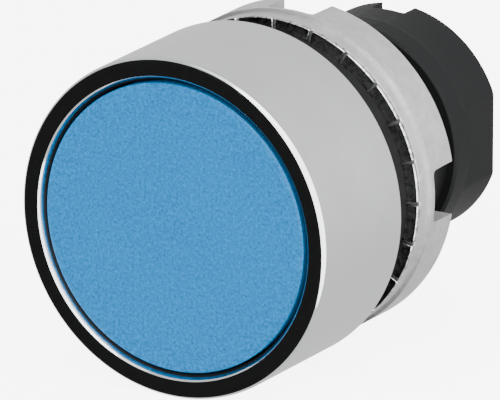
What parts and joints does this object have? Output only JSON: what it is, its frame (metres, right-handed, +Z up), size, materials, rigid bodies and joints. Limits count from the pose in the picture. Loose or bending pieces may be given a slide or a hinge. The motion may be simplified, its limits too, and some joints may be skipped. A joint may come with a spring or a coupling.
{
  "type": "industrial push button",
  "caption": "Round flush push-button operator head for a 22 mm panel hole, with metal bezel, gasket, toothed washer, slotted ring nut, return spring and rear coupling sleeve.",
  "frame": {"origin": "on the press axis, where the rear face of the panel gasket meets the front of the panel", "axes": "+Y along the press axis from the cap to the rear, so the cap faces -Y; +Z up, towards the keyway in the neck; +X to the right of someone facing the cap"},
  "size_m": [0.0295, 0.037, 0.0294],
  "materials": {
    "chromed_zinc": "bright chrome plate on zinc die-casting",
    "cast_zinc": "satin, as cast and tumbled zinc alloy",
    "zinc_plated_steel": "bright zinc-plated stamped steel",
    "spring_steel": "oiled spring steel wire and strip",
    "blue_cap": "fine-grained moulded polyamide, light blue",
    "black_polyamide": "matte glass-filled polyamide, black",
    "natural_acetal": "natural white acetal, slightly waxy",
    "gasket_rubber": "matte moulded nitrile rubber, black",
    "seal_rubber": "smooth nitrile rubber, black"
  },
  "bodies": {
    "housing": {"bezel": "chromed_zinc", "bezel_seal": "seal_rubber", "bezel_lock_ring": "spring_steel", "neck_body": "black_polyamide", "wiper_seal": "seal_rubber", "seal_retainer": "natural_acetal", "guide_bush": "natural_acetal", "bumper_ring": "seal_rubber", "rear_body": "black_polyamide", "rear_lock_ring": "spring_steel", "spring_seat": "zinc_plated_steel", "return_spring": "spring_steel", "panel_gasket": "gasket_rubber"},
    "pusher": {"button_cap": "blue_cap", "cap_carrier": "natural_acetal", "plunger": "natural_acetal", "actuator_plate": "natural_acetal", "stem_clip": "spring_steel"},
    "washer": {"tooth_washer": "zinc_plated_steel"},
    "nut": {"ring_nut": "cast_zinc"}
  },
  "joints": [
    {"name": "press", "type": "slide", "parent": "housing", "child": "pusher", "axis": [0, 1, 0], "range_m": [0, 0.004], "stiffness_N_per_m": 500, "springref_m": -0.005, "deforming": ["return_spring"]},
    {"name": "nut_travel", "type": "slide", "parent": "housing", "child": "washer", "axis": [0, 1, 0], "range_m": [0, 0.006]},
    {"name": "nut_turn", "type": "hinge", "parent": "washer", "child": "nut", "pos_m": [0, 0.00315, 0], "axis": [0, 1, 0], "range_deg": [0, 1440]}
  ],
  "couplings": [
    {"joint": "nut_turn", "follows": "nut_travel", "rad_per_m": 4188.8}
  ]
}
